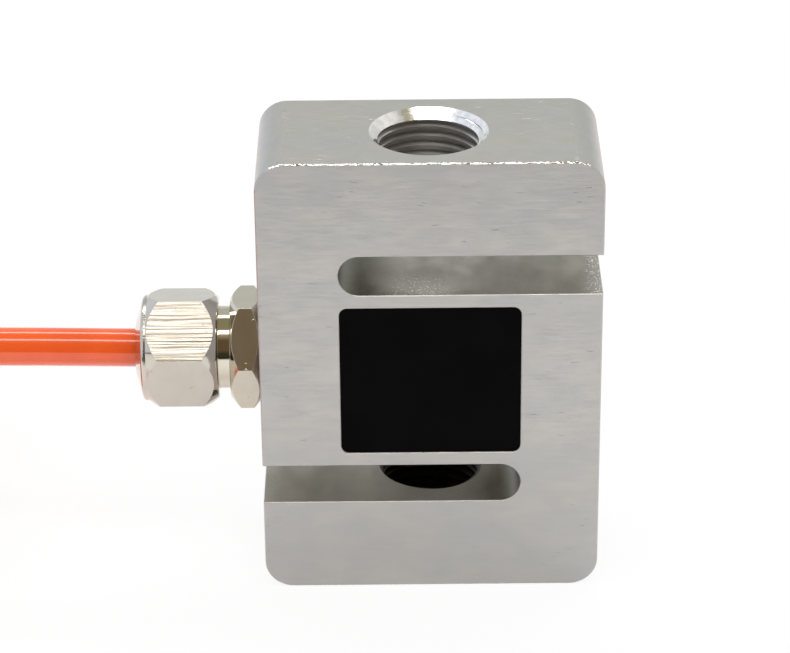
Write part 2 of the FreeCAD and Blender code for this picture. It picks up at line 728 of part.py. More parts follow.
def jacket_sleeve():
    """A shrunk sleeve over the jacket's end, with a short open skirt round the leads."""
    wall, grip, skirt, rounding = 0.2, 7, 1.5, 0.1
    body = new_body("jacket_sleeve")
    profile = new_sketch(body, "XZ_Plane")
    inner = "dims.cable_width / 2"
    outer = f"{inner} + {wall}"
    draw_outline(profile, [
        (inner, f"-{grip}"), (f"{outer} - {rounding}", f"-{grip}"),
        (outer, f"{3 * rounding} - {grip}"), (outer, f"{skirt} - {5 * rounding}"),
        (f"{outer} - {rounding}", f"{skirt}"), (inner, f"{skirt}"),
    ])
    revolve(body, profile)
    body.Placement = Placement(Vector(*TAIL_ROUTE[-1]), Rotation(Vector(0, 1, 0), -90))
    return body


def model():
    parts = [s_body()]
    gauges = {}
    for side, word in ((-1, "front"), (1, "back")):
        # Seen from its own side, each pair stands as a V that leans to both diagonals.
        gauges[side] = [strain_gauge(f"gauge_{word}_rising", side, -3.9, 45 if side < 0 else 135),
                        strain_gauge(f"gauge_{word}_falling", side, 3.9, -45 if side < 0 else 45)]
        parts += gauges[side]
    boards = {side: terminal_board(f"terminal_board_{word}", side, -9.1)
              for side, word in ((-1, "front"), (1, "back"))}
    resistors = {-1: trim_resistor("span_resistor", -1, 10.2),
                 1: trim_resistor("zero_resistor", 1, 10.2)}
    cores = {
        -1: [tube("core_red", "core_width", CORE_ROUTE),
             tube("core_black", "core_width", mirror_level(CORE_ROUTE))],
        1: [tube("core_green", "core_width", mirror_y(CORE_ROUTE)),
            tube("core_white", "core_width", mirror_y(mirror_level(CORE_ROUTE)))],
    }
    link = tube("bridge_link_wire", "link_width", LINK_ROUTE)
    for side, word in ((-1, "front"), (1, "back")):
        embedded = [*gauges[side], boards[side], resistors[side], *cores[side], link]
        parts += [boards[side], resistors[side], *cores[side]]
        parts.append(pocket_fill(f"potting_{word}", side, embedded))
    parts += [link, gland_body(), gland_oring(), gland_claw(), gland_seal(), gland_cap_nut()]
    parts += [cable_entry(), tube("cable_run", "cable_width", CABLE_ROUTE), cable_hank()]
    parts.append(tube("cable_tail", "cable_width", TAIL_ROUTE))
    middle = (dims.hank_near + dims.hank_far) / 2
    reach = dims.hank_fold + 1.5 * dims.cable_width
    parts.append(hank_tie("hank_tie_back", middle, dims.hank_side + reach, 90))
    parts.append(hank_tie("hank_tie_far", dims.hank_far - reach, dims.hank_side, 180))
    parts.append(jacket_sleeve())
    for name, route in LEAD_ROUTES.items():
        width = "drain_width" if name == "lead_shield" else "core_width"
        parts.append(tube(name, width, route))
    return parts


def check_document(parts):
    doc.recompute()
    for item in doc.Objects:
        if "Invalid" in item.State or "Error" in item.State:
            raise RuntimeError(f"{item.Name} failed: {item.State}")
    for part in parts:
        if part.Shape.isNull() or not part.Shape.isValid() or not part.Shape.Solids:
            raise RuntimeError(f"{part.Label} has no sound solid")


def export(parts):
    os.makedirs("parts", exist_ok=True)
    for part in parts:
        part.Shape.exportStep(os.path.join("parts", f"{part.Label}.step"))
    print(f"{len(parts)} parts written")


def main():
    parts = model()
    check_document(parts)
    export(parts)


main()
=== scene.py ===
"""An S-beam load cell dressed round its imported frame: threads, finishes, cable and stage."""

import json
import math

import bmesh
import bpy
from bpy.props import FloatProperty, FloatVectorProperty, IntProperty, PointerProperty
from mathutils import Matrix, Vector

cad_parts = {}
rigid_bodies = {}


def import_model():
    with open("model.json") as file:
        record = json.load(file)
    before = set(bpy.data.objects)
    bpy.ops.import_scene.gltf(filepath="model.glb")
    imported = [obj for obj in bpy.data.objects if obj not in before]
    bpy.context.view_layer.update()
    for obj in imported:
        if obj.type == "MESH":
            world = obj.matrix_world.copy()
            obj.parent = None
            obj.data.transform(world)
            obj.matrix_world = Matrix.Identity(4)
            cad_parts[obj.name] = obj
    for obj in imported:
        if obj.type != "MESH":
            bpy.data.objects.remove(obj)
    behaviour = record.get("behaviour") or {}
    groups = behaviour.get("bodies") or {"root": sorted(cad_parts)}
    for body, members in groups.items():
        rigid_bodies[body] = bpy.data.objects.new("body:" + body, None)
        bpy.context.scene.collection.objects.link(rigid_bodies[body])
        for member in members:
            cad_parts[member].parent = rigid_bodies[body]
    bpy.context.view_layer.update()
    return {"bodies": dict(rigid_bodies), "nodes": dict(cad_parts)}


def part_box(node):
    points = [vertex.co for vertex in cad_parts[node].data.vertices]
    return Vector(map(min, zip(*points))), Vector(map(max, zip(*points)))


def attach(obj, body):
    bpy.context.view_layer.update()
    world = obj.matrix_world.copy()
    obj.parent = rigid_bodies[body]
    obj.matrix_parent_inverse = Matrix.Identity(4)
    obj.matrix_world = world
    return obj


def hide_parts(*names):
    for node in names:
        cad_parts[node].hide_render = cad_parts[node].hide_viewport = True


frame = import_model()

bl_info = {
    "name": "S-Beam Load Cell",
    "version": (1, 0, 0),
    "blender": (4, 5, 0),
    "location": "3D View > Sidebar > Load Cell",
    "description": "Dresses a load cell's frame with threads, finishes, cable and stage",
    "category": "Object",
}

MM = 0.001
SLACK = 0.02 * MM  # for telling a face or a corner by its place
BODY = "root" if "root" in frame["bodies"] else next(iter(frame["bodies"]))
BEAM_LOW, BEAM_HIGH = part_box("s_body")
GLAND_LEVEL = sum(corner.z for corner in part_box("cable_entry")) / 2


def metres(points):
    return [tuple(MM * number for number in point) for point in points]


def linear(code):
    """An sRGB hex colour as the linear colour that the shaders take."""
    levels = [int(code[start:start + 2], 16) / 255 for start in (1, 3, 5)]
    return [c / 12.92 if c <= 0.04045 else ((c + 0.055) / 1.055) ** 2.4 for c in levels] + [1.0]


# Routes in millimetres, each the control points of one smooth line. X runs along the cable,
# Z is height, and the first point is where the line comes out.

CABLE_RUN = [(-43.7, 0, 35), (-60, 0, 35.4), (-80, 0, 35.5), (-105.5, -2.7, 27.15)]
CABLE_END = [(-97.5, -8.7, 27.3), (-104, -8.75, 27.3)]

LEAD_RUNS = {
    "lead_green": [(-104, -9.7, 26.35), (-107.5, -9.7, 26.35), (-113.5, -10.05, 24.8),
                   (-121, -9.95, 24.8), (-128.5, -10.3, 24.8), (-136.5, -10.1, 24.8)],
    "lead_black": [(-104, -7.8, 26.35), (-107.5, -7.8, 26.35), (-113.5, -7.6, 24.8),
                   (-121, -7.7, 24.8), (-128, -7.3, 24.8), (-135.5, -7.5, 24.8)],
    "lead_shield": [(-104, -8.75, 27.3), (-107.5, -8.75, 27.3), (-113.5, -8.8, 26.1),
                    (-120, -8.85, 24.75), (-127.5, -8.75, 24.7), (-135, -8.9, 24.7)],
    "lead_red": [(-104, -9.7, 28.25), (-108, -9.7, 28.25), (-114.5, -9.6, 26.9),
                 (-121, -9.5, 25.95), (-128.5, -9.7, 25.95), (-136.2, -9.4, 25.9)],
    "lead_white": [(-104, -7.8, 28.25), (-108, -7.8, 28.25), (-114.5, -7.95, 26.9),
                   (-121, -8.1, 25.95), (-128, -7.9, 25.95), (-135.2, -8.2, 25.9)],
}

CORE_COLOURS = {"red": "#B3201C", "black": "#161617", "green": "#1D7A3C", "white": "#E6E4DE"}

# The sheet is laid on a table and ends between these two, in metres before the object.
SHEET_END, SHEET_START = -0.32, -0.22


# What a user would change.


def length(name, description, millimetres):
    return FloatProperty(name=name, description=description, default=millimetres * MM,
                         min=0, unit="LENGTH", subtype="DISTANCE", precision=5)


def colour(name, description, code):
    return FloatVectorProperty(name=name, description=description, default=linear(code),
                               size=4, min=0, max=1, subtype="COLOR")


class BeamSizes(bpy.types.PropertyGroup):
    corner_radius: length("Corner radius", "Rounding of the block's four corners", 4.3)
    edge_break: length("Edge break", "Chamfer of the block's outer edges", 0.17)
    slot_break: length("Slot break", "Chamfer where slots and pockets were cut", 0.1)
    arm_height: length("Arm height", "Height of each solid arm", 14.7)
    slot_height: length("Slot height", "Height of each slot", 6.2)
    slot_reach: length("Slot reach", "How far a slot's round end is past the middle", 13.3)
    pocket_width: length("Pocket width", "Width of each gauge pocket", 26.5)
    pocket_height: length("Pocket height", "Height of each gauge pocket", 24)
    pocket_corner: length("Pocket corner", "Corner radius of each gauge pocket", 1.2)
    web_thickness: length("Web", "Thickness of the gauged web between the pockets", 3)
    thread_width: length("Thread width", "Width across the thread's roots", 16)
    thread_bore: length("Thread bore", "Width of the drilled hole", 14.5)
    thread_pitch: length("Thread pitch", "Rise of one thread turn", 1.5)
    thread_lag: length("Thread lag", "How far the tap stood back when it started", 0.325)
    mouth_width: length("Mouth width", "Width of the turned mouth of each thread", 17.4)
    exit_break: length("Exit break", "Chamfer where a thread opens into its slot", 0.5)
    gland_hole: length("Gland hole", "Width of the hole that the gland screws into", 12)
    gland_depth: length("Gland depth", "How far the gland's hole goes in", 8)
    core_hole: length("Core hole", "Width of the hole that lets the cores through", 7)
    core_depth: length("Core depth", "How far in the cores' hole meets the pockets", 12.75)


class CableSizes(bpy.types.PropertyGroup):
    width: length("Cable width", "Outside width of the jacket", 5.8)
    core_width: length("Core width", "Outside width of an insulated core", 1.2)
    drain_width: length("Drain width", "Width of the shield's drain wire", 0.9)
    tip_width: length("Tip width", "Width of a core's tinned strands", 0.6)
    tip_length: length("Tip length", "How far a core is stripped", 4)
    hank_fold: length("Hank fold", "Radius of the inner turns at each end", 17.4)
    hank_lift: length("Hank lift", "Height of the hank over the bench", 1)
    hank_rows: IntProperty(name="Hank rows", description="Turns on top of each other",
                           default=5, min=1, max=8)


class Finishes(bpy.types.PropertyGroup):
    steel: colour("Steel", "Plated steel of the beam", "#BEBCB9")
    nickel: colour("Nickel", "Nickel plate of the gland", "#D5CEC6")
    jacket: colour("Jacket", "Polyurethane jacket", "#F25C1C")
    potting: colour("Potting", "Compound in the gauge pockets", "#050506")
    tie: colour("Tie", "Nylon cable ties", "#18181A")
    floor: colour("Floor", "Floor of the studio", "#FFFFFF")


# Modelling by hand: pieces are added, shaped in edit mode and cut.


def take(piece):
    """Leaves only this piece selected, and active."""
    bpy.ops.object.select_all(action="DESELECT")
    piece.select_set(True)
    bpy.context.view_layer.objects.active = piece


def placed(name):
    """Names the piece just added and moves its place into its mesh."""
    piece = bpy.context.object
    piece.name = piece.data.name = name
    bpy.ops.object.transform_apply(location=True, rotation=True, scale=True)
    return piece


def add_block(name, low, high):
    low, high = Vector(low), Vector(high)
    bpy.ops.mesh.primitive_cube_add(size=1, location=(low + high) / 2, scale=high - low)
    return placed(name)


def add_rod(name, radius, start, end, sides=64):
    """A round rod between two points along one axis."""
    start, end = Vector(start), Vector(end)
    way = end - start
    bpy.ops.mesh.primitive_cylinder_add(vertices=sides, radius=radius, depth=way.length,
                                        location=(start + end) / 2,
                                        rotation=way.to_track_quat("Z", "Y").to_euler())
    return placed(name)


def add_cone(name, low_radius, high_radius, low, high, sides=96):
    """A cone on the Z axis between two heights."""
    bpy.ops.mesh.primitive_cone_add(vertices=sides, radius1=low_radius, radius2=high_radius,
                                    depth=high - low, location=(0, 0, (low + high) / 2))
    return placed(name)


def shape(piece, kind, test, *steps):
    """Runs edit mode operators on a piece's vertices, edges or faces that pass a test."""
    take(piece)
    bpy.ops.object.mode_set(mode="EDIT")
    bpy.ops.mesh.select_mode(type=kind)
    bpy.ops.mesh.select_all(action="DESELECT")
    mesh = bmesh.from_edit_mesh(piece.data)
    for part in {"VERT": mesh.verts, "EDGE": mesh.edges, "FACE": mesh.faces}[kind]:
        part.select_set(test(part))
    bmesh.update_edit_mesh(piece.data)
    for operator, settings in steps:
        operator(**settings)
    bpy.ops.object.mode_set(mode="OBJECT")
    return piece


def runs_across(edge):
    """Whether an edge runs from front to back."""
    return abs(edge.verts[0].co.y - edge.verts[1].co.y) > MM


def apply_modifier(piece, kind, **settings):
    modifier = piece.modifiers.new(kind.title(), kind)
    for name, value in settings.items():
        setattr(modifier, name, value)
    take(piece)
    bpy.ops.object.modifier_apply(modifier=modifier.name)
    return piece


def cut(piece, *tools):
    """Takes each tool's shape out of a piece, and the tool away."""
    for tool in tools:
        apply_modifier(piece, "BOOLEAN", operation="DIFFERENCE", solver="EXACT", object=tool)
        bpy.data.objects.remove(tool)
    return piece


def smooth(piece, degrees=30):
    """Rounds the shading below an angle, with the broad faces kept flat."""
    take(piece)
    bpy.ops.object.shade_smooth_by_angle(angle=math.radians(degrees))
    return apply_modifier(piece, "WEIGHTED_NORMAL", keep_sharp=True, weight=100)


def finish(piece, material, slot, *replaced):
    """Gives a finished piece its material and its place in the frame; its slot is not used."""
    piece.data.materials.clear()
    piece.data.materials.append(material)
    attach(piece, BODY)
    if replaced:
        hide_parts(*replaced)
    return piece


def finish_faces(piece, material, test):
    """Gives the faces that pass a test, by middle and normal, a finish of their own."""
    piece.data.materials.append(material)
    index = len(piece.data.materials) - 1
    for face in piece.data.polygons:
        if test(face.center, face.normal):
            face.material_index = index


def dress_nodes(material, *names):
    for name in names:
        slots = frame["nodes"][name].data.materials
        slots.clear()
        slots.append(material)


def line(name, points, radius, round_steps=5):
    """A round cord along one smooth line through the pull of its points."""
    curve = bpy.data.curves.new(name, "CURVE")
    curve.dimensions = "3D"
    spline = curve.splines.new("NURBS")
    spline.points.add(len(points) - 1)
    for knot, place in zip(spline.points, points):
        knot.co = (*place, 1)
    spline.order_u = 3
    spline.use_endpoint_u = True
    spline.resolution_u = 4
    curve.bevel_depth = radius
    curve.bevel_resolution = round_steps
    curve.use_fill_caps = True
    piece = bpy.data.objects.new(name, curve)
    bpy.context.scene.collection.objects.link(piece)
    return piece


# Materials.


def feed(tree, taker, inputs):
    """Sets or links a node's sockets, given by name or number, or in order.

    A node among them stands for what it gives first.
    """
    for socket, value in inputs.items() if isinstance(inputs, dict) else enumerate(inputs):
        if isinstance(value, bpy.types.Node):
            value = value.outputs[0]
        if isinstance(value, bpy.types.NodeSocket):
            tree.links.new(value, taker.inputs[socket])
        else:
            taker.inputs[socket].default_value = value


def node(tree, kind, inputs=(), **settings):
    """Adds one shader node, with its settings and what its sockets hold or take."""
    made = tree.nodes.new("ShaderNode" + kind)
    for name, value in settings.items():
        setattr(made, name, value)
    feed(tree, made, inputs)
    return made


def new_surface(name, **sockets):
    """A material with one shader, and the object's own coordinates for its patterns."""
    material = bpy.data.materials.new(name)
    material.use_nodes = True
    tree = material.node_tree
    tree.nodes.clear()
    shader = node(tree, "BsdfPrincipled",
                  {socket.replace("_", " "): value for socket, value in sockets.items()})
    node(tree, "OutputMaterial", {"Surface": shader})
    place = node(tree, "TexCoord").outputs["Object"]
    return material, tree, shader, place


def per_size(*millimetres):
    """The texture scale at which a pattern repeats about once in a real size each way."""
    scales = tuple(1 / (size * MM) for size in millimetres)
    return scales if len(scales) > 1 else scales[0]


def tint(tone, red, green, blue):
    return [min(1, level * share) for level, share in zip(tone, (red, green, blue))] + [1]


def plated_steel(tone):
    """Alloy steel block, milled, satin ground along its length and nickel plated.

    The plate is even, so the eye gets a soft grey sheen with faint cloudy patches, a fine
    grain along the grinding and a few short nicks from handling.
    """
    material, tree, shader, place = new_surface("satin_nickel_plated_steel", Metallic=1.0)
    # Grinding marks are about 3 mm long and 0.06 mm wide, drawn at 0.2 mm so that they show,
    # and nicks are 1.5 mm long and 0.1 mm high, drawn at 0.36 mm.
    clouds, mottle, marks, dents = (
        node(tree, "TexNoise", {"Scale": 1, "Detail": detail, "Vector": node(
            tree, "Mapping", {"Vector": place, "Scale": per_size(*ways)})})
        for ways, detail in (((16, 9, 9), 2), ((5, 2.5, 2.5), 2), ((3, 0.2, 0.2), 2),
                             ((2, 0.36, 0.36), 0)))
    patches = node(tree, "MapRange", (node(tree, "Math", (clouds, mottle), operation="ADD"),
                                      0.8, 1.2, 0, 1))
    grey = node(tree, "Mix", {0: patches, 6: tint(tone, 1.03, 1.01, 0.99),
                              7: tint(tone, 0.975, 0.985, 0.995)}, data_type="RGBA")
    rough = node(tree, "Math", (node(tree, "MapRange", (marks, 0.35, 0.7, -0.04, 0.06)),
                                node(tree, "MapRange", (mottle, 0.35, 0.65, 0.38, 0.42))),
                 operation="ADD")
    nicks = node(tree, "MapRange", (dents, 0.79, 0.84, 0, -1))
    height = node(tree, "Math", (marks, 0.2, nicks), operation="MULTIPLY_ADD")
    relief = node(tree, "Bump", {"Strength": 0.4, "Distance": 0.08 * MM, "Height": height})
    feed(tree, shader, {"Base Color": grey.outputs[2], "Roughness": rough, "Normal": relief})
    return material


def burnished_edge(tone):
    """The same plate where a tool turned or broke an edge: smoother, a little uneven, and
    painted far brighter than the plate as painted highlight.
    """
    material, tree, shader, place = new_surface("burnished_edge_painted_highlight", Metallic=1.0)
    wear = node(tree, "TexNoise", {"Vector": place, "Scale": per_size(1.2), "Detail": 3})
    # Painted highlight: the edge's colour is raised to 1.5 to 1.9 times the plate's, unevenly
    # with the wear.
    edge_wear_and_painted_highlight = node(tree, "Mix", {0: node(tree, "MapRange", (wear, 0.35, 0.65, 0, 1)),
                                6: tint(tone, 1.85, 1.87, 1.88), 7: tint(tone, 1.5, 1.5, 1.5)},
                  data_type="RGBA")
    # The mouths are turned. The edges at the front and back are broken with a file, which
    # leaves facets of about 0.8 mm.
    out = node(tree, "Math", (node(tree, "SeparateXYZ", (place,)).outputs["Y"],),
               operation="ABSOLUTE")
    filed = node(tree, "MapRange", (out, 10.5 * MM, 11 * MM, 0.15, 2.6))
    facets = node(tree, "TexNoise", {"Vector": place, "Scale": per_size(0.8), "Detail": 2})
    height = node(tree, "Math", (facets, filed), operation="MULTIPLY")
    feed(tree, shader, {
        "Base Color": edge_wear_and_painted_highlight.outputs[2],
        "Roughness": node(tree, "MapRange", (wear, 0.3, 0.7, 0.12, 0.2)),
        "Normal": node(tree, "Bump", {"Strength": 0.4, "Distance": 0.3 * MM,
                                      "Height": height})})
    return material


def wire_cut_steel(tone):
    """The same plate over slot walls cut by a wire: dull, fine grained, with pitted spots.

    Each slot is painted dark towards its closed end and light towards its open side, as
    painted shade and painted light, and the lower one gets only half the painted light. The
    upper one is pitted where the wire went in and where it slowed near the middle, and the
    lower one hardly at all.
    """
    material, tree, shader, place = new_surface("wire_cut_steel", Metallic=1.0)
    axes = node(tree, "SeparateXYZ", (place,)).outputs
    # The upper slot is closed at the left end and the lower one at the right.
    middle = (BEAM_LOW.z + BEAM_HIGH.z) / 2
    above = node(tree, "Math", (axes["Z"], middle), operation="SUBTRACT")
    upper = node(tree, "Math", (above,), operation="SIGN")
    along = node(tree, "Math", (axes["X"], upper), operation="MULTIPLY")

    stain = node(tree, "TexNoise", {"Scale": 1, "Detail": 4, "Vector": node(
        tree, "Mapping", {"Vector": place, "Scale": per_size(4, 7, 7)})})
    drift = node(tree, "Math", (stain, 5 * MM, along), operation="MULTIPLY_ADD")
    # Painted shade and light: dark at the closed end, light towards the open side, and only half
    # as light in the lower slot.
    open_side_painted_light = node(tree, "Math", (node(tree, "MapRange", (drift, -7 * MM, -2 * MM, 0, 1)),
                                  node(tree, "MapRange", (upper, -1, 1, 0.5, 1))),
                   operation="MULTIPLY")
    painted_shade_to_light = node(tree, "Mix", {0: open_side_painted_light, 6: tint(tone, 0.42, 0.4, 0.33),
                              7: tint(tone, 1.3, 1.28, 1.25)}, data_type="RGBA")
    worn = node(tree, "Mix", {0: node(tree, "MapRange", (drift, 6 * MM, 10 * MM, 0, 1)),
                              6: painted_shade_to_light.outputs[2], 7: tint(tone, 1.05, 1.04, 0.99)},
                data_type="RGBA")
    stained = node(tree, "Mix", {0: node(tree, "MapRange", (stain, 0.35, 0.65, 0, 0.6)),
                                 6: worn.outputs[2], 7: tint(tone, 0.8, 0.79, 0.73)},
                   data_type="RGBA")

    # The wire leaves craters of about 0.05 mm, drawn at 0.25 mm, and their colour is painted
    # twice the wall's as painted glints.
    spots = node(tree, "TexNoise", {"Vector": place, "Scale": per_size(0.25), "Detail": 0})
    craters = node(tree, "MapRange", (spots, 0.64, 0.7, 0, 1))
    way_in = node(tree, "MapRange", (along, 22 * MM, 23.5 * MM, 0, 1))
    past_stop = node(tree, "Math", (along, 1.5 * MM), operation="ADD")
    from_stop = node(tree, "Math", (past_stop,), operation="ABSOLUTE")
    slowed = node(tree, "Math", (
        node(tree, "MapRange", (axes["Y"], -6.5 * MM, -4.5 * MM, 1, 0.05)),
        node(tree, "MapRange", (from_stop, 2 * MM, 5.5 * MM, 1, 0.05))), operation="MULTIPLY")
    pitted = node(tree, "Math", (node(tree, "Math", (way_in, slowed), operation="MAXIMUM"),
                                 node(tree, "MapRange", (upper, -1, 1, 0.15, 1))),
                  operation="MULTIPLY")
    pits_and_painted_glints = node(tree, "Math", (craters, pitted), operation="MULTIPLY")
    # Painted glints: the craters take twice the wall's colour.
    shown = node(tree, "Mix", {0: pits_and_painted_glints, 6: stained.outputs[2], 7: tint(tone, 2, 2, 2)},
                 data_type="RGBA")
    feed(tree, shader, {
        "Base Color": shown.outputs[2],
        "Roughness": node(tree, "MapRange", (stain, 0.3, 0.7, 0.34, 0.5)),
        "Normal": node(tree, "Bump", {"Strength": 1, "Distance": 0.08 * MM,
                                      "Height": pits_and_painted_glints})})
    return material


def bright_nickel(name, tone, drawn):
    """Brass turned and milled from hexagon bar, with bright nickel plate.

    Turned necks and cones mirror the room. The flats are duller, with dings from spanners,
    and as far as one is left as drawn it also has lines along the bar.
    """
    material, tree, shader, place = new_surface(name, Metallic=1.0)
    # Draw lines are 0.05 mm wide and run the bar's length, drawn at 0.32 mm. Dings are about
    # 1 mm across.
    lines, knocks = (
        node(tree, "TexNoise", {"Scale": 1, "Detail": detail, "Vector": node(
            tree, "Mapping", {"Vector": place, "Scale": per_size(*ways)})})
        for ways, detail in (((25, 0.32, 0.32), 2), ((1.2, 0.8, 0.8), 0)))

    # The flats are whatever lies 7.4 mm or more from the gland's axis and faces off it.
    around = node(tree, "Mapping", {"Vector": place, "Location": (0, 0, -GLAND_LEVEL),
                                    "Scale": (0, 1, 1)})
    away = node(tree, "VectorMath", (around,), operation="LENGTH").outputs["Value"]
    normal = node(tree, "TexCoord").outputs["Normal"]
    endwise = node(tree, "Math", (node(tree, "SeparateXYZ", (normal,)),),
                   operation="ABSOLUTE")
    flats = node(tree, "Math", (node(tree, "MapRange", (away, 7.4 * MM, 7.6 * MM, 0, 1)),
                                node(tree, "MapRange", (endwise, 0.1, 0.2, 1, 0))),
                 operation="MULTIPLY")
    # The flat left as drawn is the one that leans up and to the front.
    facing = node(tree, "VectorMath", (normal, (0, -0.72, 0.69)),
                  operation="DOT_PRODUCT").outputs["Value"]
    left = node(tree, "MapRange", (facing, 0.9, 0.95, 0.1 * drawn, drawn))
    lined = node(tree, "Math", (flats, left), operation="MULTIPLY")

    wear = node(tree, "TexNoise", {"Vector": place, "Scale": per_size(3), "Detail": 3})
    grey = node(tree, "Mix", {0: node(tree, "MapRange", (wear, 0.4, 0.7, 0, 0.6)), 6: tone,
                              7: tint(tone, 0.93, 0.91, 0.87)}, data_type="RGBA")
    rough = node(tree, "Math", (lined, node(tree, "MapRange", (lines, 0.3, 0.7, 0, 0.14)),
                                0.08), operation="MULTIPLY_ADD")
    dings = node(tree, "MapRange", (knocks, 0.8, 0.84, 0, -3))
    ridges = node(tree, "Math", (lined, 3), operation="MULTIPLY")
    raised = node(tree, "Math", (lines, ridges), operation="MULTIPLY")
    height = node(tree, "Math", (dings, flats, raised), operation="MULTIPLY_ADD")
    # The plate rounds every edge by about 0.1 mm.
    edge = node(tree, "Bevel", {"Radius": 0.12 * MM}, samples=6)
    feed(tree, shader, {
        "Base Color": grey.outputs[2],
        "Roughness": node(tree, "Math", (flats, 0.14, rough), operation="MULTIPLY_ADD"),
        "Normal": node(tree, "Bump", {"Strength": 0.5, "Distance": 0.06 * MM,
                                      "Height": height, "Normal": edge})})
    return material


def polyurethane(tone):
    """Extruded polyurethane jacket.

    Smooth with a clear gloss, and faintly wavy along its length from the twisted cores
    under it.
    """
    material, tree, shader, place = new_surface("polyurethane_jacket", IOR=1.5,
                                                Specular_IOR_Level=0.2, Coat_Weight=1.0,
                                                Coat_IOR=1.6, Coat_Roughness=0.02)
    # The tone drifts in 5 mm, the lay of the cores lifts the skin once in about 9 mm, and
    # its grain is 0.25 mm.
    mottle, grain, lay = (
        node(tree, "TexNoise", {"Vector": place, "Scale": per_size(size), "Detail": detail})
        for size, detail in ((5, 3), (0.25, 1), (9, 1)))
    orange = node(tree, "Mix", {0: node(tree, "MapRange", (mottle, 0.35, 0.65, 0, 1)),
                                6: tint(tone, 1.04, 1.08, 1.1),
                                7: tint(tone, 0.98, 0.92, 0.88)}, data_type="RGBA")
    height = node(tree, "Math", (grain, 0.03, lay), operation="MULTIPLY_ADD")
    feed(tree, shader, {
        "Base Color": orange.outputs[2],
        "Roughness": node(tree, "MapRange", (mottle, 0.3, 0.7, 0.3, 0.36)),
        "Normal": node(tree, "Bump", {"Strength": 0.3, "Distance": 0.2 * MM,
                                      "Height": height})})
    return material


def plain_surface(name, tone, rough, grain, depth, **sockets):
    """One tone with a slight drift and a fine grain, of a size and depth in millimetres."""
    material, tree, shader, place = new_surface(name, **sockets)
    drift, fine = (
        node(tree, "TexNoise", {"Vector": place, "Scale": per_size(size), "Detail": detail})
        for size, detail in ((grain * 12, 3), (grain, 2)))
    shade = node(tree, "Mix", {0: node(tree, "MapRange", (drift, 0.35, 0.65, 0, 1)),
                               6: tint(tone, 1.12, 1.12, 1.12),
                               7: tint(tone, 0.88, 0.88, 0.88)}, data_type="RGBA")
    feed(tree, shader, {
        "Base Color": shade.outputs[2],
        "Roughness": node(tree, "MapRange", (drift, 0.3, 0.7, rough - 0.04, rough + 0.05)),
        "Normal": node(tree, "Bump", {"Strength": 0.4, "Distance": depth * MM,
                                      "Height": fine})})
    return material


def tinned_copper():
    """Annealed copper dipped in tin: soft grey-white metal, a little uneven."""
    return plain_surface("tinned_copper", linear("#CFCBC2"), 0.3, 0.3, 0.01, Metallic=1.0)


# The pieces.


def thread_tool(name, sizes, low, high):
    """The shape that a tap leaves: a rod on the Z axis with a right-hand thread."""
    bore, width = sizes.thread_bore / 2, sizes.thread_width / 2
    flank = (width - bore) * math.tan(math.radians(30))  # half of a metric thread's 60 degrees
    root = sizes.thread_pitch / 8
    crest = sizes.thread_pitch - 2 * flank - root
    turns = math.ceil((high - low) / sizes.thread_pitch)
    outline = [(0, low), (bore, low)]
    for turn in range(turns):
        start = low + turn * sizes.thread_pitch + crest / 2
        outline += [(bore, start), (width, start + flank), (width, start + flank + root),
                    (bore, start + 2 * flank + root)]
    top = low + turns * sizes.thread_pitch
    outline += [(bore, top), (0, top)]

    bpy.ops.mesh.primitive_plane_add()
    piece = placed(name)
    piece.data.clear_geometry()
    piece.data.from_pydata([(across, 0, up) for across, up in outline],
                           [(i, i + 1) for i in range(len(outline) - 1)], [])
    apply_modifier(piece, "SCREW", axis="Z", angle=math.tau, steps=72, render_steps=72,
                   screw_offset=sizes.thread_pitch, use_smooth_shade=False)
    return shape(piece, "VERT", lambda vert: True,
                 (bpy.ops.mesh.remove_doubles, {"threshold": 0.003 * MM}),
                 (bpy.ops.mesh.fill_holes, {"sides": 0}),
                 (bpy.ops.mesh.normals_make_consistent, {"inside": False}))


def slot_way(name, sizes, centre, level, end):
    """What a slot takes out: a round hole through the depth, drawn out level past a side."""
    past = sizes.corner_radius
    rod = add_rod(name, sizes.slot_height / 2, (centre, BEAM_LOW.y - past, level),
                  (centre, BEAM_HIGH.y + past, level), sides=48)
    reach = end - centre
    return shape(rod, "VERT", lambda vert: abs(vert.co.x - end) < abs(reach) - SLACK,
                 (bpy.ops.transform.translate, {"value": (reach, 0, 0)}))


